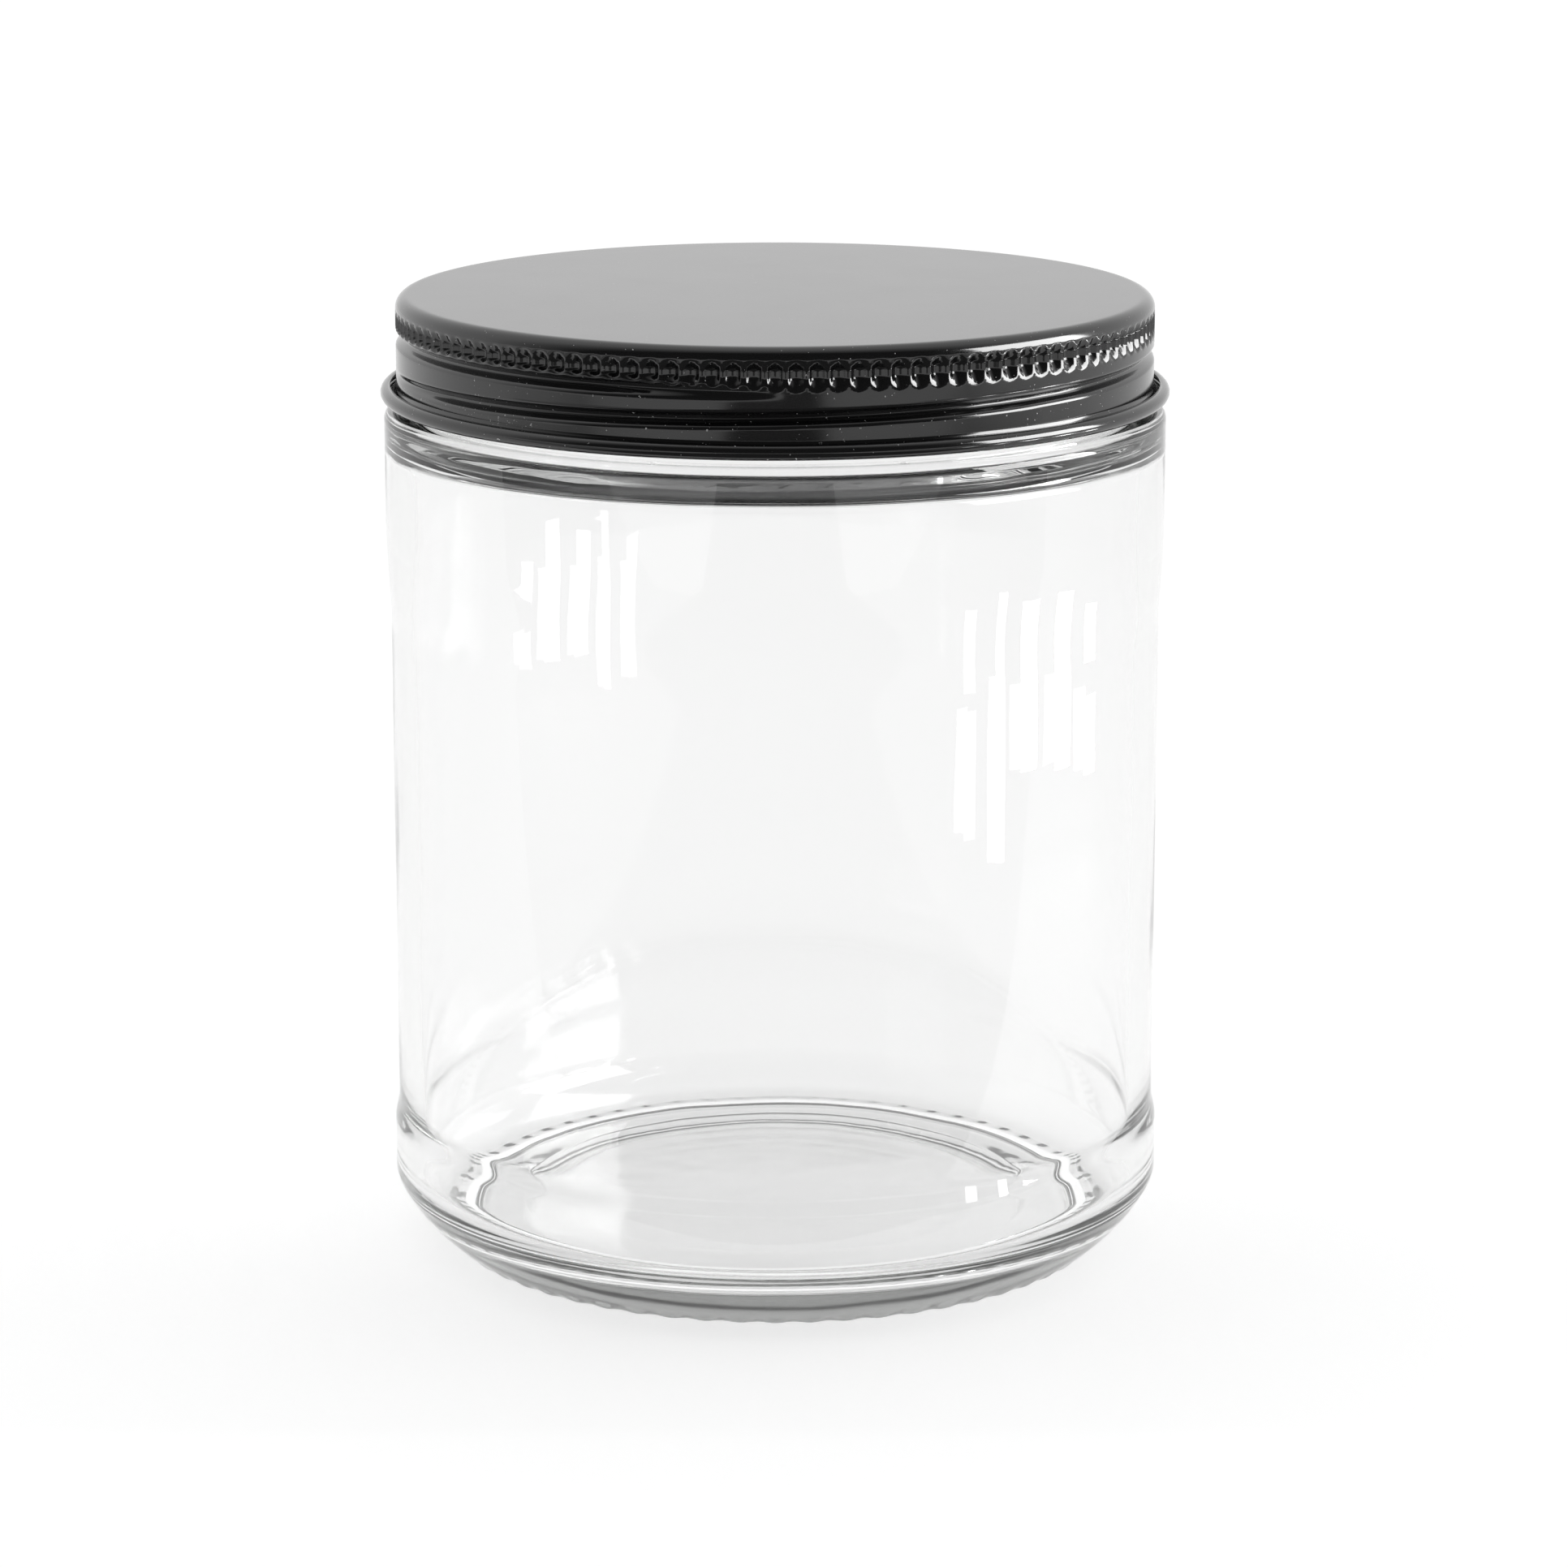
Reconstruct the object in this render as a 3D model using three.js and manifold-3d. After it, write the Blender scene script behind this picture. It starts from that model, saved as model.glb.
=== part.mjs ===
// A straight-sided specimen jar: a moulded glass jar with a screw neck, and a screw lid pressed
// from black sheet metal, which holds a loose liner of pulpboard faced with film.
// Millimetres, +Z up. The origin is the middle of the standing ring, on the plane it stands on.

import * as THREE from "three";
import { mergeVertices } from "three/addons/utils/BufferGeometryUtils.js";
import Module from "manifold-3d";

const wasm = await Module();
wasm.setup();

// Glass body
const jarHeight = 89; // standing plane to rim
const bodyRadius = 36.5; // the contact bands, the glass's widest places
const shoulderBand = 11; // height of the contact band under the shoulder
const shoulderRamp = 10; // height over which the wall eases in from there to the label panel
const heelBand = 5; // height of the contact band over the heel
const heelRamp = 3; // height over which the wall eases in from there to the label panel
const panelRecess = 0.4; // label panel, in from the contact bands
const wallThickness = 2.3; // at the label panel
const shoulderRound = 1.1; // outside corner of the shoulder
const shoulderStep = 3; // neck's wall, in from the contact bands
const shoulderDrop = 4.2; // height over which the bore opens to the body
const neckFillet = 0.5; // between the neck and the shoulder
const neckThickness = 2.5;
const rimRound = 1.1; // both edges of the rim

// Base
const heelHeight = 5.9; // seam between the body mould and its bottom plate
const seamStep = 0.25; // the bottom plate's part is this much smaller
const heelWidth = 4.95; // heel's slope, from the seam in to the ends of the bars
const heelBulge = 0.45; // the slope stands out by this much in its middle
const ringWidth = 1.2; // flat standing ring
const barCount = 60; // short bars round the outside of the standing ring, level with it
const barLength = 1.3;
const barWidth = 0.9;
const barHeight = 0.3;
const pushUpSlope = 5; // width of the slope between the ring and the raised underside
const pushUpEdge = 1.2; // height of the raised underside at the top of that slope
const pushUpMiddle = 1.7; // height of the raised underside on the axis
const floorFillet = 4; // inside corner of the floor
const floorEdge = 4.1; // height of the floor where its fillet starts
const floorMiddle = 4.5; // height of the floor on the axis

// Screw thread, right-handed, with one start
const lead = 4.233; // six threads to the inch
const glassThreadHeight = 1.2; // ridge on the glass
const glassThreadLift = 0.4; // foot of its lowest turn, above the neck's fillet
const glassThreadDrop = 0.3; // foot of its highest turn, below the lid's flutes
const lidThreadDepth = 0.8; // ridge rolled into the lid
const lidThreadWidth = 1.6; // along the axis, foot to foot
const lidThreadLevel = 3.8; // its crest goes no higher than this below the lid's top, then runs level
const lidThreadStart = 2; // where the level part ends: a true helix would be this far below the top
const lidThreadEnd = 7.25; // crest of its lowest turn, below the lid's top
const flankGap = 0.25; // on each side of the glass ridge, along the axis
const threadFade = 0.5; // radians over which a thread runs out
const threadDrop = 6.25; // height of the lid's thread at the front, below the lid's top
const frontAngle = -Math.PI / 2; // the direction of the front

// Lid
const sheet = 0.3; // metal
const threadClearance = 0.3; // glass ridge to the lid's skirt
const lidDepth = 9.75; // top to the underside of the curl
const lidCorner = 1.15; // outside corner of the top
const flutesDrop = 1.1; // top of the fluted band, below the lid's top
const fluteLength = 2.8;
const fluteDepth = 0.6;
const fluteTaper = 0.6; // height over which each end of a flute runs out
const fluteCount = 120;
const fluteShare = 0.72; // of the pitch between two flutes
const flareWidth = 0.35; // skirt leans out by this much above the curl
const flareHeight = 0.9;
const curlRadius = 0.72; // outside of the rolled edge
const curlGap = 0.75; // curl to the glass shoulder
const curlEnd = THREE.MathUtils.degToRad(120); // where the roll stops, short of the skirt

// Liner
const wadThickness = 0.7;
const facingThickness = 0.2;
const glueLine = 0.02; // between the wad and its facing
const seatGap = 0.05; // facing to the rim, and wad to the lid's top
const linerPlay = 0.4; // liner's edge to the lid's wall
const wadChamfer = 0.45;
const facingChamfer = 0.05;

const turnSegments = 60;
const rowHeight = 0.7; // at most, between the rows of a wall that carries a thread
const rowMargin = 0.01; // tells a wall that carries a thread from the places next to it

const neckRadius = bodyRadius - shoulderStep;
const boreRadius = neckRadius - neckThickness;
const skirtInner = neckRadius + glassThreadHeight + threadClearance;
const skirtRadius = skirtInner + sheet;
const facingBottom = jarHeight + seatGap;
const wadBottom = facingBottom + facingThickness + glueLine;
const lidUnderside = wadBottom + wadThickness + seatGap;
const lidTop = lidUnderside + sheet;
const curlBottom = lidTop - lidDepth;
const shoulderTop = curlBottom - curlGap;
const fluteTop = lidTop - flutesDrop;
const fluteBottom = fluteTop - fluteLength;
const threadMiddle = lidTop - threadDrop;
const glassThreadWidth = lead - lidThreadWidth - 2 * flankGap;
const quarter = Math.PI / 2;

const point = (radius, height) => new THREE.Vector2(radius, height);

// Points of an elliptical arc about (radius, height), both ends included.
function arc(radius, height, wide, high, from, to, steps) {
  return Array.from({ length: steps + 1 }, (_, i) => {
    const angle = from + ((to - from) * i) / steps;
    return point(radius + wide * Math.cos(angle), height + high * Math.sin(angle));
  });
}

// Points up or down a straight wall, close enough together to carry a thread.
function wall(radius, from, to) {
  const steps = Math.ceil(Math.abs(to - from) / rowHeight);
  return Array.from({ length: steps + 1 }, (_, i) => point(radius, from + ((to - from) * i) / steps));
}

// Points of a shallow dome, from its height on the axis out to its edge.
function dome(middle, radius, edge, steps) {
  return Array.from({ length: steps + 1 }, (_, i) =>
    point((radius * i) / steps, middle + (edge - middle) * (i / steps) ** 2),
  );
}

// Points of an S-shaped wall between two straight ones.
function ogee(fromRadius, fromHeight, toRadius, toHeight, steps) {
  return Array.from({ length: steps + 1 }, (_, i) => {
    const share = (1 - Math.cos((Math.PI * i) / steps)) / 2;
    return point(
      fromRadius + (toRadius - fromRadius) * share,
      fromHeight + ((toHeight - fromHeight) * i) / steps,
    );
  });
}

// Points of a shallow arc, which stands out to the right of the way from its start to its end.
function bow(fromRadius, fromHeight, toRadius, toHeight, bulge, steps) {
  const way = point(toRadius - fromRadius, toHeight - fromHeight);
  const out = point(way.y, -way.x).setLength(bulge);
  return Array.from({ length: steps + 1 }, (_, i) => {
    const share = i / steps;
    const place = point(fromRadius, fromHeight).addScaledVector(way, share);
    return place.addScaledVector(out, 4 * share * (1 - share));
  });
}

// A closed solid of revolution about Z. Each vertex moves out by push(radius, height, angle).
function turned(profile, push = () => 0) {
  const geometry = new THREE.LatheGeometry(profile, turnSegments);
  geometry.rotateX(quarter);
  const position = geometry.attributes.position;
  for (let i = 0; i < position.count; i++) {
    const x = position.getX(i);
    const y = position.getY(i);
    const radius = Math.hypot(x, y);
    if (radius < 1e-6) continue;
    const scale = 1 + push(radius, position.getZ(i), Math.atan2(y, x)) / radius;
    position.setXY(i, x * scale, y * scale);
  }
  return geometry;
}

// Height of a helical ridge at one place on a wall: 0 off the ridge and 1 on its crest.
// middle is its height at the front. It runs out towards the lowest and highest that it reaches,
// and stays level where it would rise over level.
function ridge(height, angle, middle, width, lowest, highest, level = highest) {
  let best = 0;
  for (let turn = -2; turn <= 2; turn++) {
    const crest = middle + lead * (turn + (angle - frontAngle) / (2 * Math.PI));
    const off = Math.abs(height - Math.min(crest, level)) / (width / 2);
    const left = (Math.min(crest - lowest, highest - crest) * 2 * Math.PI) / lead / threadFade;
    if (off < 1 && left > 0) {
      best = Math.max(best, Math.cos(off * quarter) ** 2 * Math.min(1, left));
    }
  }
  return best;
}

function solidOf(geometry) {
  const bare = geometry.clone();
  bare.deleteAttribute("normal");
  bare.deleteAttribute("uv");
  const merged = mergeVertices(bare, 1e-4);
  const mesh = new wasm.Mesh({
    numProp: 3,
    vertProperties: merged.attributes.position.array,
    triVerts: new Uint32Array(merged.index.array),
  });
  return new wasm.Manifold(mesh);
}

function geometryOf(solid) {
  const mesh = solid.getMesh();
  const geometry = new THREE.BufferGeometry();
  geometry.setAttribute("position", new THREE.BufferAttribute(mesh.vertProperties, 3));
  geometry.setIndex(new THREE.BufferAttribute(mesh.triVerts, 1));
  geometry.computeVertexNormals();
  return geometry;
}

// One solid of the copies of a geometry that are spaced evenly round Z.
function ringOf(count, geometry) {
  const copies = Array.from({ length: count }, (_, i) =>
    solidOf(geometry.clone().rotateZ((i * 2 * Math.PI) / count)),
  );
  return wasm.Manifold.union(copies);
}

function glassJar() {
  const innerRadius = bodyRadius - panelRecess - wallThickness;
  const panelRadius = bodyRadius - panelRecess;
  const panelLow = heelHeight + heelBand + heelRamp;
  const panelHigh = shoulderTop - shoulderBand - shoulderRamp;
  const seamRadius = bodyRadius - seamStep;
  const barEnd = seamRadius - heelWidth;
  const ringOuter = barEnd - barLength;
  const ringInner = ringOuter - ringWidth;
  const neckFoot = shoulderTop + neckFillet;
  const neckHead = jarHeight - rimRound;
  const roundMiddle = shoulderTop - shoulderRound;

  const profile = [
    ...dome(pushUpMiddle, ringInner - pushUpSlope, pushUpEdge, 2),
    point(ringInner, 0),
    point(ringOuter, 0),
    point(ringOuter, barHeight),
    ...bow(barEnd, barHeight, seamRadius, heelHeight, heelBulge, 5),
    point(bodyRadius, heelHeight + seamStep),
    ...ogee(bodyRadius, panelLow - heelRamp, panelRadius, panelLow, 4),
    ...ogee(panelRadius, panelHigh, bodyRadius, panelHigh + shoulderRamp, 4),
    ...arc(bodyRadius - shoulderRound, roundMiddle, shoulderRound, shoulderRound, 0, quarter, 4),
    point(neckRadius + neckFillet, shoulderTop),
    ...wall(neckRadius, neckFoot, neckHead),
    ...arc(neckRadius - rimRound, neckHead, rimRound, rimRound, quarter / 3, quarter, 2),
    ...arc(boreRadius + rimRound, neckHead, rimRound, rimRound, quarter, 2 * quarter, 3),
    ...ogee(boreRadius, shoulderTop, innerRadius, shoulderTop - shoulderDrop, 4),
    ...arc(innerRadius - floorFillet, floorEdge + floorFillet, floorFillet, floorFillet, 0, -quarter, 4),
    point(0, floorMiddle),
  ];

  const threadLow = neckFoot + glassThreadLift + glassThreadWidth / 2;
  const threadHigh = fluteBottom - glassThreadDrop - glassThreadWidth / 2;
  const middle = threadMiddle + lead / 2;
  const onNeck = (radius, height) =>
    Math.abs(radius - neckRadius) < rowMargin &&
    height > neckFoot + rowMargin &&
    height < neckHead - rowMargin;
  const body = turned(profile, (radius, height, angle) =>
    onNeck(radius, height)
      ? glassThreadHeight * ridge(height, angle, middle, glassThreadWidth, threadLow, threadHigh)
      : 0,
  );

  const barReach = barLength + ringWidth / 2;
  const bar = new THREE.BoxGeometry(barReach, barWidth, 2 * barHeight);
  bar.translate(barEnd - barReach / 2, 0, barHeight);
  return geometryOf(solidOf(body).add(ringOf(barCount, bar)));
}

function lidShell() {
  const fluteFloor = skirtInner - fluteDepth;
  const rollCentre = skirtRadius + flareWidth + curlRadius - sheet;
  const rollHeight = curlBottom + curlRadius;
  const rollBore = curlRadius - sheet;
  const flareTop = rollHeight + flareHeight;
  const innerCorner = lidCorner - sheet;

  const profile = [
    point(0, lidUnderside),
    ...arc(skirtInner - innerCorner, lidTop - lidCorner, innerCorner, innerCorner, quarter, 0, 2),
    point(skirtInner, fluteTop),
    ...wall(fluteFloor, fluteTop - fluteTaper, fluteBottom + fluteTaper),
    ...wall(skirtInner, fluteBottom, flareTop),
    ...arc(rollCentre, rollHeight, curlRadius, curlRadius, -2 * quarter, curlEnd, 7),
    ...arc(rollCentre, rollHeight, rollBore, rollBore, curlEnd, -2 * quarter, 5),
    ...wall(skirtRadius, flareTop, fluteBottom),
    ...wall(skirtRadius, fluteBottom + fluteTaper, fluteTop - fluteTaper),
    ...arc(skirtRadius - lidCorner, lidTop - lidCorner, lidCorner, lidCorner, 0, quarter, 4),
    point(0, lidTop),
  ];

  const [lowest, highest] = [lidTop - lidThreadEnd, lidTop - lidThreadStart];
  const level = lidTop - lidThreadLevel;
  const onSkirt = (radius, height) =>
    radius > fluteFloor - rowMargin &&
    radius < skirtRadius + rowMargin &&
    height > flareTop + rowMargin &&
    height < fluteTop - rowMargin;
  // The sheet's inside already stands in behind the flutes, by as much as they are deep
  const body = turned(profile, (radius, height, angle) => {
    if (!onSkirt(radius, height)) return 0;
    const share = ridge(height, angle, threadMiddle, lidThreadWidth, lowest, highest, level);
    const depth = lidThreadDepth * share;
    return radius > skirtInner + sheet / 2 ? -depth : -Math.max(0, depth + radius - skirtInner);
  });

  const pitch = (2 * Math.PI * skirtRadius) / fluteCount;
  const cutter = fluteCutter((pitch * fluteShare) / 2);
  cutter.translate(skirtRadius, 0, (fluteTop + fluteBottom) / 2);
  return geometryOf(solidOf(body).subtract(ringOf(fluteCount, cutter)));
}

// A six-sided bar with pointed ends, which cuts one flute to the flute's depth and half width.
function fluteCutter(halfWidth) {
  const radius = (halfWidth ** 2 + fluteDepth ** 2) / (2 * fluteDepth);
  const half = fluteLength / 2;
  const profile = [
    point(0, -half),
    point(radius, fluteTaper - half),
    point(radius, half - fluteTaper),
    point(0, half),
  ];
  const cutter = new THREE.LatheGeometry(profile, 6);
  cutter.rotateX(quarter);
  cutter.translate(radius - fluteDepth, 0, 0);
  return cutter;
}

function linerDisc(bottom, thickness, chamfer) {
  const radius = skirtInner - linerPlay;
  const top = bottom + thickness;
  return turned([
    point(0, bottom),
    point(radius, bottom),
    point(radius, top - chamfer),
    point(radius - chamfer, top),
    point(0, top),
  ]);
}

const glassFinish = new THREE.MeshStandardMaterial({
  color: 0xf2f4f4,
  roughness: 0.03,
  metalness: 0,
  transparent: true,
  opacity: 0.35,
});
const lidFinish = new THREE.MeshStandardMaterial({ color: 0x131315, roughness: 0.22, metalness: 0.1 });
const wadFinish = new THREE.MeshStandardMaterial({ color: 0xb9b2a4, roughness: 0.9, metalness: 0 });
const facingFinish = new THREE.MeshStandardMaterial({ color: 0x161617, roughness: 0.35, metalness: 0 });

function part(name, geometry, material) {
  const mesh = new THREE.Mesh(geometry, material);
  mesh.name = name;
  return mesh;
}

const jar = new THREE.Group();
jar.add(part("glass_jar", glassJar(), glassFinish));

const lid = new THREE.Group();
lid.add(part("lid_shell", lidShell(), lidFinish));
lid.add(part("liner_wad", linerDisc(wadBottom, wadThickness, wadChamfer), wadFinish));
lid.add(part("liner_facing", linerDisc(facingBottom, facingThickness, facingChamfer), facingFinish));
jar.add(lid);

export default jar;
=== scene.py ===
import math

import bpy
import numpy as np
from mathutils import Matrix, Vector


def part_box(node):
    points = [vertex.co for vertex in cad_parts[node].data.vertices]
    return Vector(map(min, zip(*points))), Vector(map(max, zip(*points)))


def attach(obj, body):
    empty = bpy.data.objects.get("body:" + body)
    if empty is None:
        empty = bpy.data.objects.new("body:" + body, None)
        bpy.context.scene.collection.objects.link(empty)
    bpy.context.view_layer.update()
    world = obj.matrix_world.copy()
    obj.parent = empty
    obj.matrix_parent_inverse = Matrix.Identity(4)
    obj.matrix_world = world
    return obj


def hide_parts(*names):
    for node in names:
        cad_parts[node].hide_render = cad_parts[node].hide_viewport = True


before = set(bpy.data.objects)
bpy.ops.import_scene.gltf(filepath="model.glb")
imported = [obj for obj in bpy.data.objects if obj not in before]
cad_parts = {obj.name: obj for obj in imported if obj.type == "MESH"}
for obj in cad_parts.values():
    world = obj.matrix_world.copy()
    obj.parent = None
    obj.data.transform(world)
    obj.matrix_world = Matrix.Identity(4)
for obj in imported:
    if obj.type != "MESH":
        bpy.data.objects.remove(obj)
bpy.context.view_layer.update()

mm = 0.001


# One value in a node tree, so that sums are written as sums
class Wire:
    def __init__(self, tree, socket):
        self.tree = tree
        self.socket = socket

    def other(self, output):
        return Wire(self.tree, self.socket.node.outputs[output])

    def math(self, operation, *values):
        sockets = dict(enumerate((self, *values)))
        return self.tree.node("ShaderNodeMath", {"operation": operation}, sockets)

    def __add__(self, value):
        return self.math("ADD", value)

    def __sub__(self, value):
        return self.math("SUBTRACT", value)

    def __rsub__(self, value):
        return self.tree.node("ShaderNodeMath", {"operation": "SUBTRACT"}, {0: value, 1: self})

    def __mul__(self, value):
        return self.math("MULTIPLY", value)

    def __truediv__(self, value):
        return self.math("DIVIDE", value)

    def __pow__(self, value):
        return self.math("POWER", value)

    __radd__ = __add__
    __rmul__ = __mul__

    def least(self, value):
        return self.math("MINIMUM", value)

    def most(self, value):
        return self.math("MAXIMUM", value)

    def size(self):
        return self.math("ABSOLUTE")

    # 0 below low, 1 above high and an even slope between them
    def slope(self, low, high):
        sockets = {"Value": self, "From Min": low, "From Max": high}
        return self.tree.node("ShaderNodeMapRange", {"clamp": True}, sockets)


class Tree:
    def __init__(self, tree):
        self.tree = tree

    def node(self, kind, settings=None, sockets=None, output=0):
        made = self.tree.nodes.new(kind)
        for key, value in (settings or {}).items():
            setattr(made, key, value)
        for key, value in (sockets or {}).items():
            if isinstance(value, Wire):
                self.tree.links.new(value.socket, made.inputs[key])
            else:
                made.inputs[key].default_value = value
        return Wire(self, made.outputs[output])

    def mix(self, share, first, second):
        return self.node("ShaderNodeMix", {"data_type": "RGBA"}, {0: share, 6: first, 7: second}, 2)


class Material(Tree):
    def __init__(self, name):
        self.material = bpy.data.materials.new(name)
        self.material.use_nodes = True
        super().__init__(self.material.node_tree)
        self.tree.nodes.clear()
        self.place = self.node("ShaderNodeTexCoord", output="Object")

    def noise(self, scale, detail=2.0, rough=0.5, place=None):
        sockets = {"Vector": place or self.place, "Scale": scale, "Detail": detail, "Roughness": rough}
        return self.node("ShaderNodeTexNoise", None, sockets)

    def stretched(self, x, y, z):
        sockets = {"Vector": self.place, "Scale": (x, y, z)}
        return self.node("ShaderNodeMapping", None, sockets)

    def bump(self, height, strength, distance):
        sockets = {"Height": height, "Strength": strength, "Distance": distance}
        return self.node("ShaderNodeBump", None, sockets)

    def finish(self, sockets, volume=None):
        shader = self.node("ShaderNodeBsdfPrincipled", None, sockets)
        outputs = {"Surface": shader, "Volume": volume} if volume else {"Surface": shader}
        self.node("ShaderNodeOutputMaterial", None, outputs)
        return self.material

    # The ShaderNodeOutputMaterial has no outputs, so it is made without a wire
    def node(self, kind, settings=None, sockets=None, output=0):
        if kind != "ShaderNodeOutputMaterial":
            return super().node(kind, settings, sockets, output)
        made = self.tree.nodes.new(kind)
        for key, value in sockets.items():
            self.tree.links.new(value.socket, made.inputs[key])


# Outline points are (radius, height), in metres
def arc(radius, height, wide, high, start, end, steps):
    angles = np.radians(np.linspace(start, end, steps + 1))
    return [(radius + wide * math.cos(a), height + high * math.sin(a)) for a in angles]


def line(start, end, steps):
    return [tuple(p) for p in np.linspace(start, end, steps + 1)]


def ease(start, end, steps):
    share = (1 - np.cos(np.pi * np.linspace(0, 1, steps + 1))) / 2
    rise = np.linspace(start[1], end[1], steps + 1)
    return [(start[0] + (end[0] - start[0]) * s, z) for s, z in zip(share, rise)]


# A shallow arc from start to end, which stands out to the right of the way by bulge
def bowed(start, end, bulge, steps):
    way = np.subtract(end, start) / math.dist(start, end)
    share = np.linspace(0, 1, steps + 1)[:, None]
    points = np.array(start) * (1 - share) + np.array(end) * share
    return [tuple(p) for p in points + np.array([way[1], -way[0]]) * bulge * 4 * share * (1 - share)]


# A shallow dome or dish that has its middle on the axis, and reaches the edge height at reach
def dome(middle, edge, reach, radii):
    return [(r, middle + (edge - middle) * (r / reach) ** 2) for r in radii]


def withoutTwins(points):
    out = [points[0]]
    for point in points[1:]:
        if math.dist(point, out[-1]) > 1e-6:
            out.append(point)
    return out


# Turns an outline that starts and ends on the axis into a closed mesh
def turned(name, outline, around):
    outline = withoutTwins(outline)
    rings = [p for p in outline if p[0] > 1e-9]
    angles = np.linspace(0, 2 * np.pi, around, endpoint=False) - np.pi / 2
    points = [(r * c, r * s, z) for r, z in rings for c, s in zip(np.cos(angles), np.sin(angles))]
    bottom, top = len(points), len(points) + 1
    points += [(0, 0, outline[0][1]), (0, 0, outline[-1][1])]
    faces = []
    for i in range(around):
        j = (i + 1) % around
        faces.append((bottom, j, i))
        for row in range(len(rings) - 1):
            low, high = row * around, (row + 1) * around
            faces.append((low + i, low + j, high + j, high + i))
        last = (len(rings) - 1) * around
        faces.append((last + i, last + j, top))
    mesh = bpy.data.meshes.new(name)
    mesh.from_pydata(points, [], faces)
    mesh.polygons.foreach_set("use_smooth", [True] * len(mesh.polygons))
    mesh.update()
    made = bpy.data.objects.new(name, mesh)
    bpy.context.scene.collection.objects.link(made)
    return made


# Marks the vertices that a rule holds for, for the geometry nodes to read
def mark(thing, name, rule):
    places = np.empty(len(thing.data.vertices) * 3)
    thing.data.vertices.foreach_get("co", places)
    x, y, z = places.reshape(-1, 3).T
    layer = thing.data.attributes.new(name, "FLOAT", "POINT")
    layer.data.foreach_set("value", rule(np.hypot(x, y), z).astype(float))


# A geometry node tree with named inputs, a place, a radius and an angle to work from
class Shaper(Tree):
    def __init__(self, name, inputs):
        tree = bpy.data.node_groups.new(name, "GeometryNodeTree")
        super().__init__(tree)
        faces = tree.interface
        faces.new_socket("Geometry", in_out="INPUT", socket_type="NodeSocketGeometry")
        for key in inputs:
            faces.new_socket(key, in_out="INPUT", socket_type="NodeSocketFloat")
        faces.new_socket("Finish", in_out="INPUT", socket_type="NodeSocketMaterial")
        faces.new_socket("Geometry", in_out="OUTPUT", socket_type="NodeSocketGeometry")
        self.start = tree.nodes.new("NodeGroupInput")
        self.place = self.node("GeometryNodeInputPosition")
        parts = self.node("ShaderNodeSeparateXYZ", None, {0: self.place})
        self.x, self.y, self.z = parts, parts.other("Y"), parts.other("Z")
        self.radius = (self.x * self.x + self.y * self.y).math("SQRT")
        self.angle = self.y.math("ARCTAN2", self.x)

    def input(self, name):
        return Wire(self, self.start.outputs[name])

    def marked(self, name):
        return self.node("GeometryNodeInputNamedAttribute", {"data_type": "FLOAT"}, {"Name": name})

    # Height of a helical ridge, from 0 to 1, which runs out near its lowest and highest and stays
    # under level, then how far above its crest a place is, and how much of the ridge is there.
    # A place belongs to the crest below it a little longer than to the one above, by the lean
    def helix(self, middle, lead, width, lowest, highest, level, fade):
        lean = 0.15
        turns = (self.z - middle) / lead - (self.angle + math.pi / 2) / (2 * math.pi)
        crest = self.z - (turns - (turns + lean).math("ROUND")) * lead
        above = self.z - crest.least(level)
        off = (above.size() / (width / 2)).least(1.0)
        left = (crest - lowest).least(highest - crest) * (2 * math.pi) / lead / fade
        runOut = left.slope(0.0, 1.0)
        return (off * (math.pi / 2)).math("COSINE") ** 2.0 * runOut, above, runOut

    # Moves every point out by push and up by lift, and ends the tree
    def end(self, push, lift):
        grow = push / self.radius.most(1e-6)
        sockets = {"X": self.x * grow, "Y": self.y * grow, "Z": lift}
        offset = self.node("ShaderNodeCombineXYZ", None, sockets)
        sockets = {"Geometry": self.input("Geometry"), "Offset": offset}
        moved = self.node("GeometryNodeSetPosition", None, sockets)
        smooth = self.node("GeometryNodeSetShadeSmooth", None, {0: moved})
        real = self.node("GeometryNodeRealizeInstances", None, {0: smooth})
        sockets = {"Geometry": real, "Material": self.input("Finish")}
        finished = self.node("GeometryNodeSetMaterial", None, sockets)
        self.tree.links.new(finished.socket, self.tree.nodes.new("NodeGroupOutput").inputs["Geometry"])
        return self.tree


# Runs a geometry node tree on a mesh, and keeps only the plain mesh that comes out
def shaped(thing, tree, values, finish):
    modifier = thing.modifiers.new("shape", "NODES")
    modifier.node_group = tree
    for item in tree.interface.items_tree:
        if item.in_out == "INPUT" and item.name in values:
            modifier[item.identifier] = float(values[item.name])
        elif item.in_out == "INPUT" and item.name == "Finish":
            modifier[item.identifier] = finish
    evaluated = thing.evaluated_get(bpy.context.evaluated_depsgraph_get())
    mesh = bpy.data.meshes.new_from_object(evaluated)
    thing.modifiers.remove(modifier)
    thing.data = mesh
    for layer in list(mesh.attributes):
        if layer.name in ("neck", "inside", "foot", "skirt", "outside"):
            mesh.attributes.remove(layer)
    return thing


print("stage: glass")
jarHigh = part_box("glass_jar")[1]
lidLow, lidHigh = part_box("lid_shell")
wadLow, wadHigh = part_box("liner_wad")
facingLow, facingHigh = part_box("liner_facing")

thread = {
    "lead": 4.233 * mm,
    "frontHeight": lidHigh.z - 6.25 * mm,
    "fade": 0.5,
    "lidWidth": 1.6 * mm,
    "lidDepth": 0.8 * mm,
    "glassHeight": 1.2 * mm,
    "flankGap": 0.25 * mm,
}

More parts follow.
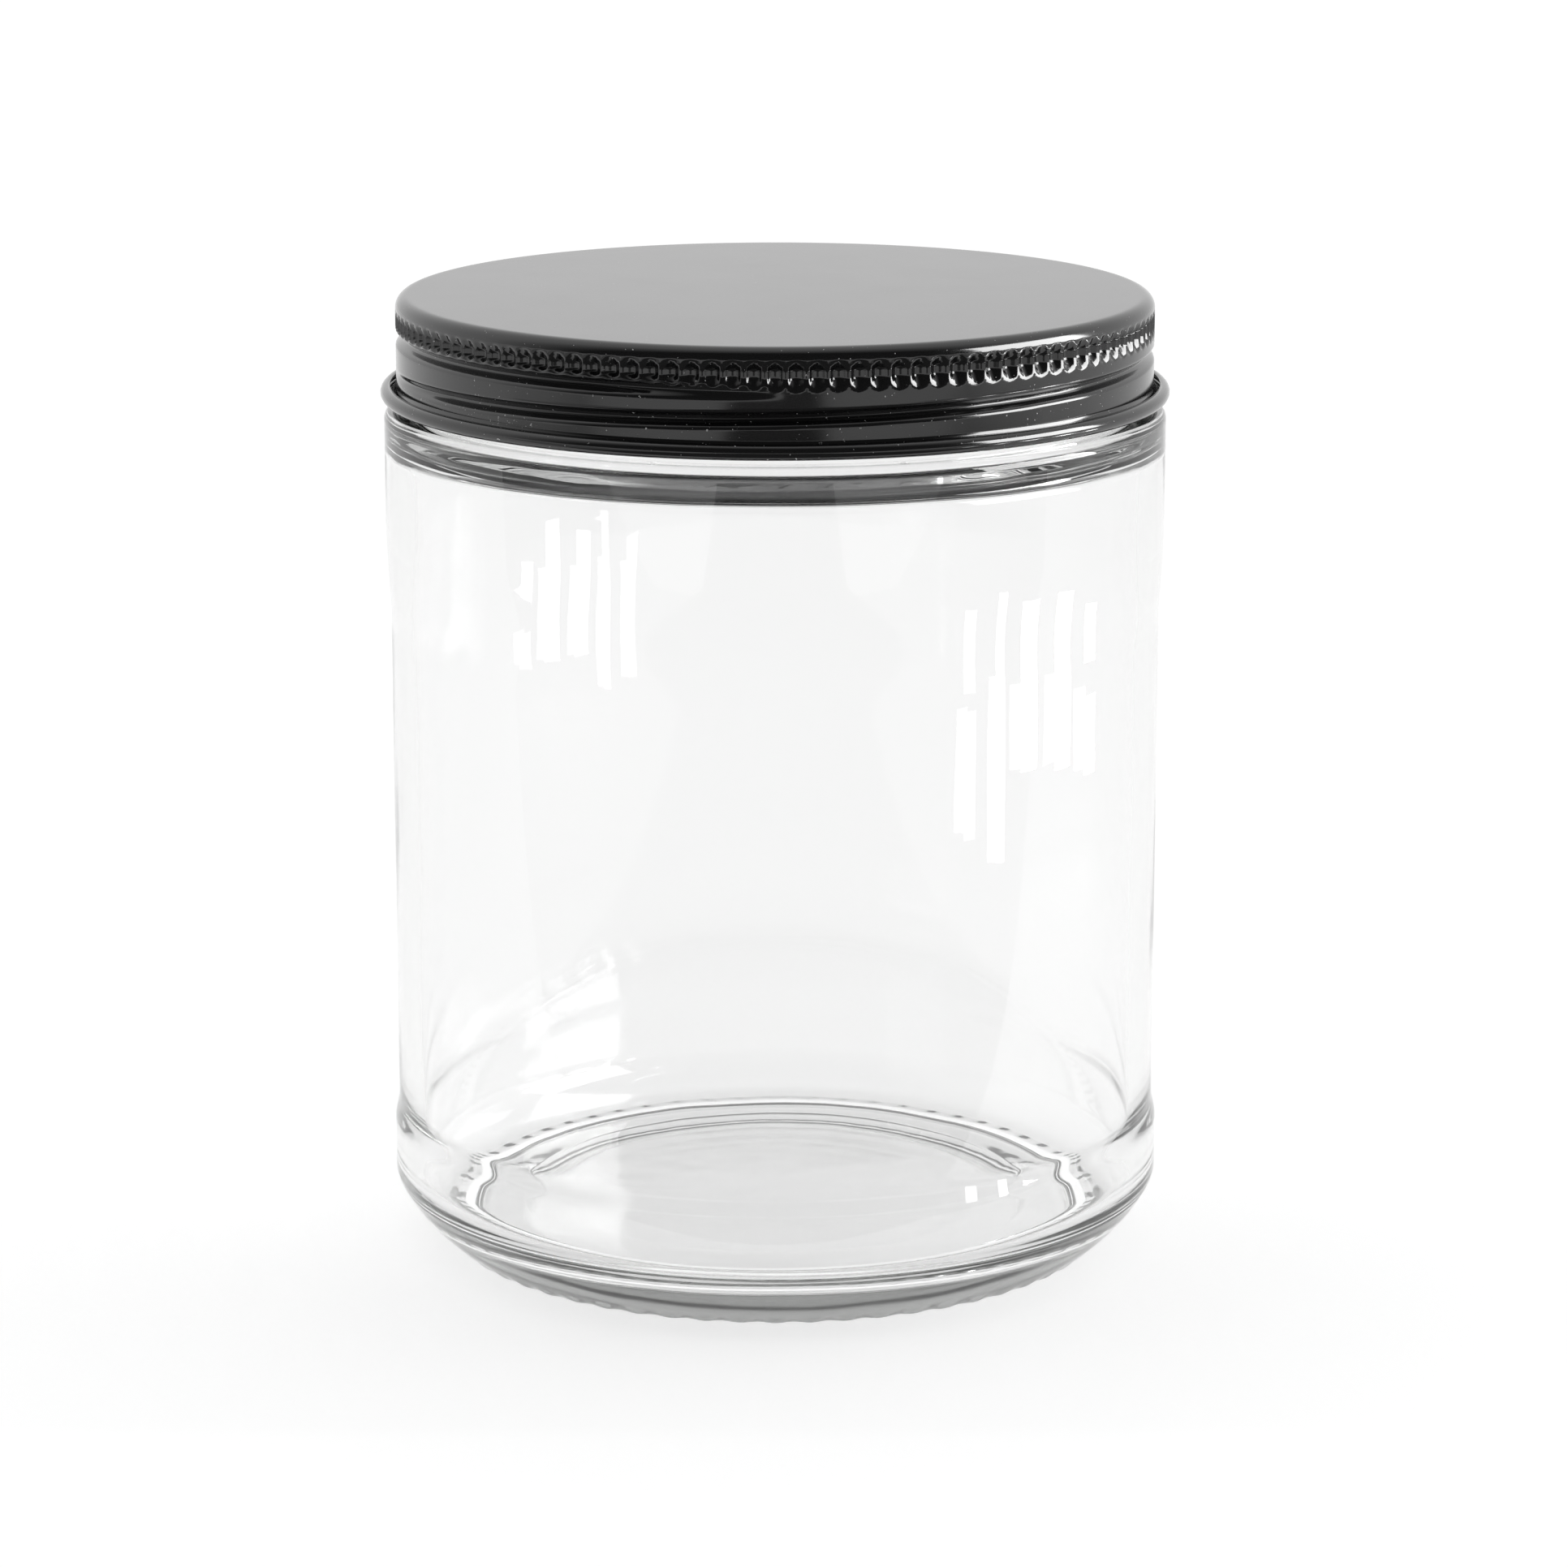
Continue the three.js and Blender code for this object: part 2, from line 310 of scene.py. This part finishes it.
glass = {
    "around": 480,
    "shoulderGap": 0.75 * mm,
    "shoulderBand": 11 * mm,
    "heelBand": 5 * mm,
    "panelRecess": 0.4 * mm,
    "shoulderRamp": 10 * mm,
    "heelRamp": 3 * mm,
    "wall": 2.3 * mm,
    "shoulderRound": 1.1 * mm,
    "shoulderStep": 3 * mm,
    "shoulderDrop": 4.2 * mm,
    "neckFillet": 0.5 * mm,
    "neckWall": 2.5 * mm,
    "rimRound": 1.1 * mm,
    "seamHeight": 5.9 * mm,
    "seamStep": 0.25 * mm,
    "heelWidth": 4.95 * mm,
    "heelBulge": 0.45 * mm,
    "barLength": 1.3 * mm,
    "barHeight": 0.14 * mm,
    "ringWidth": 1.2 * mm,
    "ringRound": 0.4 * mm,
    "pushUpSlope": 5 * mm,
    "pushUpEdge": 1.2 * mm,
    "pushUpMiddle": 1.7 * mm,
    "floorFillet": 4 * mm,
    "floorEdge": 4.1 * mm,
    "floorMiddle": 4.5 * mm,
    "waviness": 0.12 * mm,
    "shoulderWaviness": 0.5 * mm,
    "waveScale": 55,
    "barCount": 60,
    "smearRoughness": 0.025,
    "footRoughness": 0.07,
    "tintDensity": 130.0,
}


def glassMaterial():
    m = Material("clearGlass")
    smear = m.noise(38, 3).slope(0.52, 0.75)
    ripple = m.noise(1.0, 2, place=m.stretched(95, 95, 22))
    height = m.node("ShaderNodeSeparateXYZ", None, {0: m.place}, 2)
    nearFloor = 1 - height.slope(2 * mm, 9 * mm)
    settings = {
        "Base Color": (1, 1, 1, 1),
        "Roughness": smear * glass["smearRoughness"] + nearFloor * glass["footRoughness"],
        "IOR": 1.5,
        "Transmission Weight": 1.0,
        "Normal": m.bump(ripple, 0.06, 0.4 * mm),
    }
    tint = {"Color": (0.87, 0.872, 0.87, 1), "Density": glass["tintDensity"]}
    return m.finish(settings, m.node("ShaderNodeVolumeAbsorption", None, tint))


def makeGlass():
    g = glass
    outer = jarHigh.x
    shoulder = lidLow.z - g["shoulderGap"]
    rim = jarHigh.z
    panel = outer - g["panelRecess"]
    inner = panel - g["wall"]
    neck = outer - g["shoulderStep"]
    bore = neck - g["neckWall"]
    seam = outer - g["seamStep"]
    barEnd = seam - g["heelWidth"]
    ringOut = barEnd - g["barLength"]
    ringIn = ringOut - g["ringWidth"]
    floorFlat = inner - g["floorFillet"]
    slopeTop = ringIn - g["pushUpSlope"]
    seamHigh = g["seamHeight"]
    panelLow = seamHigh + g["heelBand"]
    rampTop = panelLow + g["heelRamp"]
    bandLow = shoulder - g["shoulderBand"]
    panelHigh = bandLow - g["shoulderRamp"]
    soft = g["ringRound"]
    bars = g["barHeight"]
    corner = g["shoulderRound"]
    fillet = g["neckFillet"]
    filletTop = shoulder + fillet
    rimLow = rim - g["rimRound"]
    domeFoot = shoulder - g["shoulderDrop"]
    floorTop = g["floorEdge"] + g["floorFillet"]

    # From the middle of the underside to the seam above the heel
    outline = dome(g["pushUpMiddle"], g["pushUpEdge"], slopeTop, np.linspace(0, slopeTop, 7))
    outline += ease((slopeTop, g["pushUpEdge"]), (ringIn - soft, soft), 8)[1:]
    outline += arc(ringIn + soft * 0.2, soft, soft * 1.2, soft, 180, 270, 3)
    outline += line((ringIn + soft * 0.4, 0), (ringOut, 0), 2)
    outline += line((ringOut + 0.12 * mm, 0.06 * mm), (ringOut + 0.35 * mm, bars), 3)
    outline += line((ringOut + 0.5 * mm, bars), (barEnd, bars), 4)
    outline += bowed((barEnd, bars), (seam, seamHigh - 0.15 * mm), g["heelBulge"], 20)[1:]
    outline += [(seam, seamHigh - 0.1 * mm), (seam + 0.06 * mm, seamHigh + 0.02 * mm)]
    outline += ease((seam + 0.1 * mm, seamHigh + 0.06 * mm), (outer, seamHigh + 0.75 * mm), 4)

    # Up the outside, over the rim and down the bore
    outline += [(outer, panelLow - 0.6 * mm)]
    outline += ease((outer, panelLow), (panel, rampTop), 8)
    outline += [(panel, rampTop + 0.5 * mm), (panel, (rampTop + panelHigh) / 2)]
    outline += [(panel, panelHigh - 0.5 * mm)]
    outline += ease((panel, panelHigh), (outer, panelHigh + g["shoulderRamp"]), 8)
    outline += [(outer, panelHigh + g["shoulderRamp"] + 0.4 * mm)]
    outline += [(outer, shoulder - corner - 0.12 * mm)]
    outline += arc(outer - corner, shoulder - corner, corner, corner, 0, 90, 10)
    outline += [(neck + fillet + 0.1 * mm, shoulder)]
    outline += arc(neck + fillet, filletTop, fillet, fillet, 270, 180, 3)
    outline += line((neck, filletTop + 0.1 * mm), (neck, rimLow), 24)
    outline += arc(neck - g["rimRound"], rimLow, g["rimRound"], g["rimRound"], 12, 90, 6)
    outline += arc(bore + g["rimRound"], rimLow, g["rimRound"], g["rimRound"], 90, 180, 6)
    outline += [(bore, rimLow - 0.2 * mm), (bore, shoulder + 0.3 * mm)]

    # Down the inside to the middle of the floor
    outline += ease((bore, shoulder), (inner, domeFoot), 10)
    outline += [(inner, domeFoot - 0.3 * mm)]
    outline += line((inner, domeFoot - 1.5 * mm), (inner, floorTop + 0.3 * mm), 30)
    outline += arc(floorFlat, floorTop, g["floorFillet"], g["floorFillet"], 0, -90, 12)
    floorRadii = np.linspace(floorFlat - 0.4 * mm, 0, 8)
    outline += dome(g["floorMiddle"], g["floorEdge"], floorFlat, floorRadii)

    jar = turned("glassJar", outline, g["around"])
    onNeck = lambda z: (z > filletTop) & (z < rimLow)
    inHollow = lambda z: (z > 3 * mm) & (z < shoulder + 0.1 * mm)
    mark(jar, "neck", lambda r, z: (abs(r - neck) < 0.01 * mm) & onNeck(z))
    mark(jar, "inside", lambda r, z: (r < inner + 0.01 * mm) & inHollow(z))
    mark(jar, "foot", lambda r, z: (r > ringOut + 0.05 * mm) & (r < barEnd + 1.5 * mm) & (z < 1.0 * mm))

    inputs = ("Lead", "Ridge middle", "Ridge height", "Ridge width", "Ridge lowest", "Ridge highest",
              "Ridge fade", "Bar count", "Bar height", "Waviness", "Shoulder waviness", "Wave scale")
    s = Shaper("glassRules", inputs)
    ridge, _, _ = s.helix(s.input("Ridge middle"), s.input("Lead"), s.input("Ridge width"),
                          s.input("Ridge lowest"), s.input("Ridge highest"), s.input("Ridge highest"),
                          s.input("Ridge fade"))
    sockets = {"Vector": s.place, "Scale": s.input("Wave scale"), "Detail": 2.0}
    wave = s.node("ShaderNodeTexNoise", None, sockets)
    push = ridge * s.input("Ridge height") * s.marked("neck")
    top = s.z.slope(shoulder - 7 * mm, shoulder - 3 * mm)
    top = top * (1 - s.z.slope(shoulder - 1.5 * mm, shoulder))
    swing = s.input("Waviness") * (1 - top) + s.input("Shoulder waviness") * top
    push = push + (wave - 0.5) * swing * s.marked("inside") * s.radius.slope(10 * mm, 25 * mm)
    barWave = (s.angle * s.input("Bar count")).math("COSINE").slope(-1.0, 1.0)
    lowness = 1 - s.z.slope(0.3 * mm, 0.9 * mm)
    lift = -1 * (s.z.least(s.input("Bar height")) * barWave * lowness * s.marked("foot"))
    nearBase = 1 - s.z.slope(5 * mm, 8 * mm)
    floorWave = (wave.other("Fac") - 0.5) * s.input("Waviness") * s.marked("inside") * nearBase
    tree = s.end(push, lift + floorWave * 2)

    ridgeWidth = thread["lead"] - thread["lidWidth"] - 2 * thread["flankGap"]
    values = {
        "Lead": thread["lead"],
        "Ridge middle": thread["frontHeight"] + thread["lead"] / 2,
        "Ridge height": thread["glassHeight"],
        "Ridge width": ridgeWidth,
        "Ridge lowest": shoulder + g["neckFillet"] + 0.4 * mm + ridgeWidth / 2,
        "Ridge highest": lidHigh.z - 4.1 * mm - ridgeWidth / 2,
        "Ridge fade": thread["fade"],
        "Bar count": g["barCount"],
        "Bar height": g["barHeight"],
        "Waviness": g["waviness"],
        "Shoulder waviness": g["shoulderWaviness"],
        "Wave scale": g["waveScale"],
    }
    shaped(jar, tree, values, glassMaterial())
    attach(jar, "jar")
    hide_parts("glass_jar")


makeGlass()

print("stage: lid")
lid = {
    "around": 720,
    "sheet": 0.3 * mm,
    "skirt": 35.3 * mm,
    "corner": 1.15 * mm,
    "flutesDrop": 1.1 * mm,
    "fluteLength": 2.8 * mm,
    "ribTaper": 0.6 * mm,
    "fluteLip": 0.9 * mm,
    "fluteLedge": 1.1 * mm,
    "fluteDepth": 0.68 * mm,
    "fluteCount": 120,
    "fluteCurve": 2.0,
    "grooveHighest": 2 * mm,
    "grooveLevel": 3.8 * mm,
    "grooveLowest": 7.25 * mm,
    "grooveEdge": 0.65 * mm,
    "grooveRound": 0.5 * mm,
    "flareWidth": 0.35 * mm,
    "flareHeight": 0.9 * mm,
    "curl": 0.72 * mm,
    "curlEnd": 105,
}


def enamelMaterial():
    m = Material("blackEnamel")
    height = m.node("ShaderNodeSeparateXYZ", None, {0: m.place}, 2)
    low = lidLow.z + 0.9 * mm
    nearCurl = height.slope(low, low + 0.6 * mm) * (1 - height.slope(low + 1.6 * mm, low + 2.6 * mm))
    clumps = m.noise(70, 2).slope(0.4, 0.65) * nearCurl * 0.07
    specks = (m.noise(3600, 1) + clumps).slope(0.76, 0.79)
    wear = m.noise(140, 4, 0.6)
    peel = m.noise(650, 1)
    settings = {
        "Base Color": m.mix(specks, (0.005, 0.005, 0.0053, 1), (0.5, 0.5, 0.5, 1)),
        "Roughness": (wear * 0.08 + 0.08) + specks * 0.4,
        "IOR": 1.6,
        "Normal": m.bump(peel, 0.02, 0.05 * mm),
    }
    return m.finish(settings)


def makeLid():
    s = lid
    top, low = lidHigh.z, lidLow.z
    skirt = s["skirt"]
    inside = skirt - s["sheet"]
    fluteTop = top - s["flutesDrop"]
    fluteLow = fluteTop - s["fluteLength"]
    rollMiddle = (skirt + s["flareWidth"] + s["curl"] - s["sheet"], low + s["curl"])
    rollBore = s["curl"] - s["sheet"]
    flareTop = rollMiddle[1] + s["flareHeight"]
    innerCorner = s["corner"] - s["sheet"]
    fluteFloor = inside - s["fluteDepth"]
    under = top - s["sheet"]
    rows = list(np.linspace(flareTop, fluteLow, 29)) + list(np.linspace(fluteLow, fluteTop, 27)[1:])
    innerRows = rows[::2]
    ribShares = [min(1, max(0, min(z - fluteLow, fluteTop - z)) / s["ribTaper"]) for z in innerRows]
    innerWall = [(inside - s["fluteDepth"] * share, z) for share, z in zip(ribShares, innerRows)]

    outline = [(0, under), (inside - innerCorner - 0.3 * mm, under)]
    outline += arc(inside - innerCorner, top - s["corner"], innerCorner, innerCorner, 90, 10, 4)
    outline += innerWall[::-1]
    rollTop = rollMiddle[1] + 0.1 * mm
    outline += ease((inside, flareTop - 0.1 * mm), (rollMiddle[0] - s["curl"], rollTop), 3)
    outline += arc(*rollMiddle, s["curl"], s["curl"], 180, 360 + s["curlEnd"], 12)
    outline += arc(*rollMiddle, rollBore, rollBore, 360 + s["curlEnd"], 180, 6)
    outline += ease((skirt + s["flareWidth"], rollTop), (skirt, flareTop - 0.1 * mm), 3)
    outline += [(skirt, z) for z in rows]
    outline += arc(skirt - s["corner"], top - s["corner"], s["corner"], s["corner"], 8, 90, 8)
    outline += [(skirt - s["corner"] - 0.3 * mm, top), (18 * mm, top), (0, top)]

    shell = turned("lidShell", outline, s["around"])
    onWall = lambda z: (z > flareTop + 0.02 * mm) & (z < fluteTop + 0.01 * mm)
    mark(shell, "skirt", lambda r, z: (r < skirt + 0.01 * mm) & (r > fluteFloor - 0.01 * mm) & onWall(z))
    mark(shell, "outside", lambda r, z: (abs(r - skirt) < 0.01 * mm) & onWall(z))

    inputs = ("Lead", "Groove middle", "Groove depth", "Groove width", "Groove lowest", "Groove highest",
              "Groove level", "Groove fade", "Flute count", "Flute depth", "Flute low", "Flute high",
              "Flute ledge", "Flute lip")
    t = Shaper("lidRules", inputs)
    names = ("middle", "width", "lowest", "highest", "level", "fade")
    middle, width, lowest, highest, level, fade = (t.input(f"Groove {name}") for name in names)
    groove, aboveGroove, there = t.helix(middle, t.input("Lead"), width, lowest, highest, level, fade)
    depth = groove * t.input("Groove depth") * t.marked("skirt")
    turn = t.angle * t.input("Flute count") / (2 * math.pi)
    across = (turn - turn.math("ROUND")).size() * 2
    ledge = ((t.z - t.input("Flute low")) / t.input("Flute ledge")).slope(0.0, 1.0)
    lip = ((t.input("Flute high") - t.z) / t.input("Flute lip")).slope(0.0, 1.0)
    # The groove was rolled after the flutes, and cuts off what is under its upper edge
    kept = 1 - there * (1 - aboveGroove.slope(s["grooveEdge"], s["grooveEdge"] + s["grooveRound"]))
    scallop = (ledge.least(lip).least(kept) - across ** s["fluteCurve"]).most(0.0)
    scallop = scallop * t.input("Flute depth")
    # The sheet's inside already stands in behind the flutes, by as much as they are deep
    behind = (depth + t.radius - inside).most(0.0) * t.marked("skirt")
    outward = t.marked("outside")
    push = -1 * ((depth.most(scallop)) * outward + behind * (1 - outward))
    tree = t.end(push, 0.0)
    values = {
        "Lead": thread["lead"],
        "Groove middle": thread["frontHeight"],
        "Groove depth": thread["lidDepth"],
        "Groove width": thread["lidWidth"],
        "Groove lowest": top - s["grooveLowest"],
        "Groove level": top - s["grooveLevel"],
        "Groove highest": top - s["grooveHighest"],
        "Groove fade": thread["fade"],
        "Flute count": s["fluteCount"],
        "Flute depth": s["fluteDepth"],
        "Flute low": fluteLow,
        "Flute high": fluteTop,
        "Flute ledge": s["fluteLedge"],
        "Flute lip": s["fluteLip"],
    }
    shaped(shell, tree, values, enamelMaterial())
    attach(shell, "lid")
    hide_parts("lid_shell")


makeLid()

print("stage: liner")
liner = {"around": 240, "wadRound": 0.3 * mm, "facingRound": 0.06 * mm}


def boardMaterial():
    m = Material("greyPulpboard")
    fibre = m.noise(700, 4, 0.65)
    mottle = m.noise(90, 3)
    shade = m.mix(mottle, (0.52, 0.48, 0.41, 1), (0.68, 0.64, 0.56, 1))
    settings = {
        "Base Color": m.mix(fibre.slope(0.55, 0.7), shade, (0.4, 0.37, 0.31, 1)),
        "Roughness": fibre * 0.15 + 0.8,
        "Normal": m.bump(fibre, 0.35, 0.08 * mm),
    }
    return m.finish(settings)


def filmMaterial():
    m = Material("darkFilm")
    haze = m.noise(220, 3)
    settings = {
        "Base Color": m.mix(haze, (0.012, 0.012, 0.013, 1), (0.022, 0.022, 0.023, 1)),
        "Roughness": haze * 0.15 + 0.28,
        "IOR": 1.5,
        "Normal": m.bump(m.noise(500, 2), 0.08, 0.05 * mm),
    }
    return m.finish(settings)


def makeDisc(name, low, high, rounding, finish, node):
    edge = high.x
    outline = [(0, low.z), (edge * 0.5, low.z), (edge - rounding - 0.2 * mm, low.z)]
    outline += arc(edge - rounding, low.z + rounding, rounding, rounding, -90, 0, 4)
    outline += arc(edge - rounding, high.z - rounding, rounding, rounding, 0, 90, 4)
    outline += [(edge - rounding - 0.2 * mm, high.z), (edge * 0.5, high.z), (0, high.z)]
    disc = turned(name, outline, liner["around"])
    disc.data.materials.append(finish)
    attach(disc, "liner")
    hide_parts(node)


board, film = boardMaterial(), filmMaterial()
makeDisc("linerWad", wadLow, wadHigh, liner["wadRound"], board, "liner_wad")
makeDisc("linerFacing", facingLow, facingHigh, liner["facingRound"], film, "liner_facing")

print("stage: studio")
studio = {
    "floorRadius": 3.0,
    "floorGrey": 0.5,
    "floorGlow": 0.68,
    "frontGrey": 0.07,
    "backGrey": 1.0,
    # name, degrees round from the front, then millimetres away, wide, low and high, and glow
    "cards": [
        ("window", 80, 300, 230, 72, 250, 14),
        ("pane", 54, 200, 12, 4, 20, 8),
        ("pane", 64, 200, 10, 0, 28, 12),
        ("pane", 74, 200, 21, 11, 22, 30),
        ("pane", 87, 200, 22, 10, 24, 30),
        ("pane", 99, 200, 18, 8, 18, 30),
    ],
    # name, then millimetres up, near, far and wide, and glow
    "mats": [
        ("darkMat", 0.6, 60, 700, 260, 0.1),
        ("dimMat", 0.4, 60, 320, 1000, 0.55),
    ],
}


def makeFloor():
    reach = studio["floorRadius"]
    angles = np.linspace(0, 2 * math.pi, 96, endpoint=False)
    points = [(reach * math.cos(a), reach * math.sin(a), 0) for a in angles]
    mesh = bpy.data.meshes.new("floor")
    mesh.from_pydata(points, [], [tuple(range(len(points)))])
    floor = bpy.data.objects.new("floor", mesh)
    bpy.context.scene.collection.objects.link(floor)
    m = Material("paleFloor")
    grey = studio["floorGrey"]
    mottle = m.noise(6, 2)
    settings = {
        "Base Color": m.mix(mottle, (grey - 0.01,) * 3 + (1,), (grey,) * 3 + (1,)),
        "Roughness": 0.9,
        "Emission Color": (1, 1, 1, 1),
        "Emission Strength": studio["floorGlow"],
    }
    mesh.materials.append(m.finish(settings))


# A glowing card that only shows in what the object reflects and lets through
def makeCard(name, corners, glow):
    mesh = bpy.data.meshes.new(name)
    mesh.from_pydata(corners, [], [(0, 1, 2, 3)])
    card = bpy.data.objects.new(name, mesh)
    bpy.context.scene.collection.objects.link(card)
    m = Material(name)
    shine = m.node("ShaderNodeEmission", None, {"Color": (1, 1, 1, 1), "Strength": glow})
    m.node("ShaderNodeOutputMaterial", None, {"Surface": shine})
    mesh.materials.append(m.material)
    card.visible_camera = False
    card.visible_diffuse = False
    card.visible_shadow = False
    return card


# An upright card that faces the jar, turned round from the front towards the right
def standCard(name, around, away, width, low, high, glow):
    away, width, low, high = (size * mm for size in (away, width, low, high))
    turn = math.radians(around)
    out = Vector((math.sin(turn), -math.cos(turn), 0))
    side = Vector((math.cos(turn), math.sin(turn), 0)) * width / 2
    feet = [out * away - side, out * away + side]
    corners = [feet[0] + Vector((0, 0, low)), feet[1] + Vector((0, 0, low)),
               feet[1] + Vector((0, 0, high)), feet[0] + Vector((0, 0, high))]
    makeCard(name, corners, glow)


# A card that lies on the floor in front of the jar, and doesn't show through the glass
def layMat(name, lift, near, far, width, glow):
    lift, near, far, width = (size * mm for size in (lift, near, far, width))
    mat = makeCard(name, [(-width / 2, -far, lift), (width / 2, -far, lift),
                          (width / 2, -near, lift), (-width / 2, -near, lift)], glow)
    mat.visible_transmission = False


makeFloor()
for card in studio["cards"]:
    standCard(*card)
for mat in studio["mats"]:
    layMat(*mat)


# The light room is dim in front of the jar, where the camera stands, and white behind it
def makeWorld():
    world = bpy.data.worlds.new("studio")
    bpy.context.scene.world = world
    world.use_nodes = True
    w = Tree(world.node_tree)
    background = world.node_tree.nodes["Background"]
    way = w.node("ShaderNodeSeparateXYZ", None, {0: w.node("ShaderNodeTexCoord", output="Generated")})
    behind = way.other("Y").slope(-0.5, 0.1)
    front, back = (studio["frontGrey"],) * 3 + (1,), (studio["backGrey"],) * 3 + (1,)
    w.tree.links.new(w.mix(behind, front, back).socket, background.inputs["Color"])
    background.inputs["Strength"].default_value = 1.0


makeWorld()

print("stage: camera")
view = {"place": (0, -502.7 * mm, 161.7 * mm), "down": 13.26, "right": 0.095, "lens": 124.77}
camera = bpy.data.objects.new("camera", bpy.data.cameras.new("camera"))
bpy.context.scene.collection.objects.link(camera)
camera.location = view["place"]
camera.rotation_euler = (math.radians(90 - view["down"]), 0, -math.radians(view["right"]))
camera.data.lens = view["lens"]
camera.data.sensor_width = 36
camera.data.clip_start = 0.01
camera.data.clip_end = 20
bpy.context.scene.camera = camera

scene = bpy.context.scene
scene.view_settings.view_transform = "Standard"
scene.view_settings.look = "None"
scene.cycles.max_bounces = 32
scene.cycles.transmission_bounces = 32
scene.cycles.glossy_bounces = 16
scene.cycles.transparent_max_bounces = 32
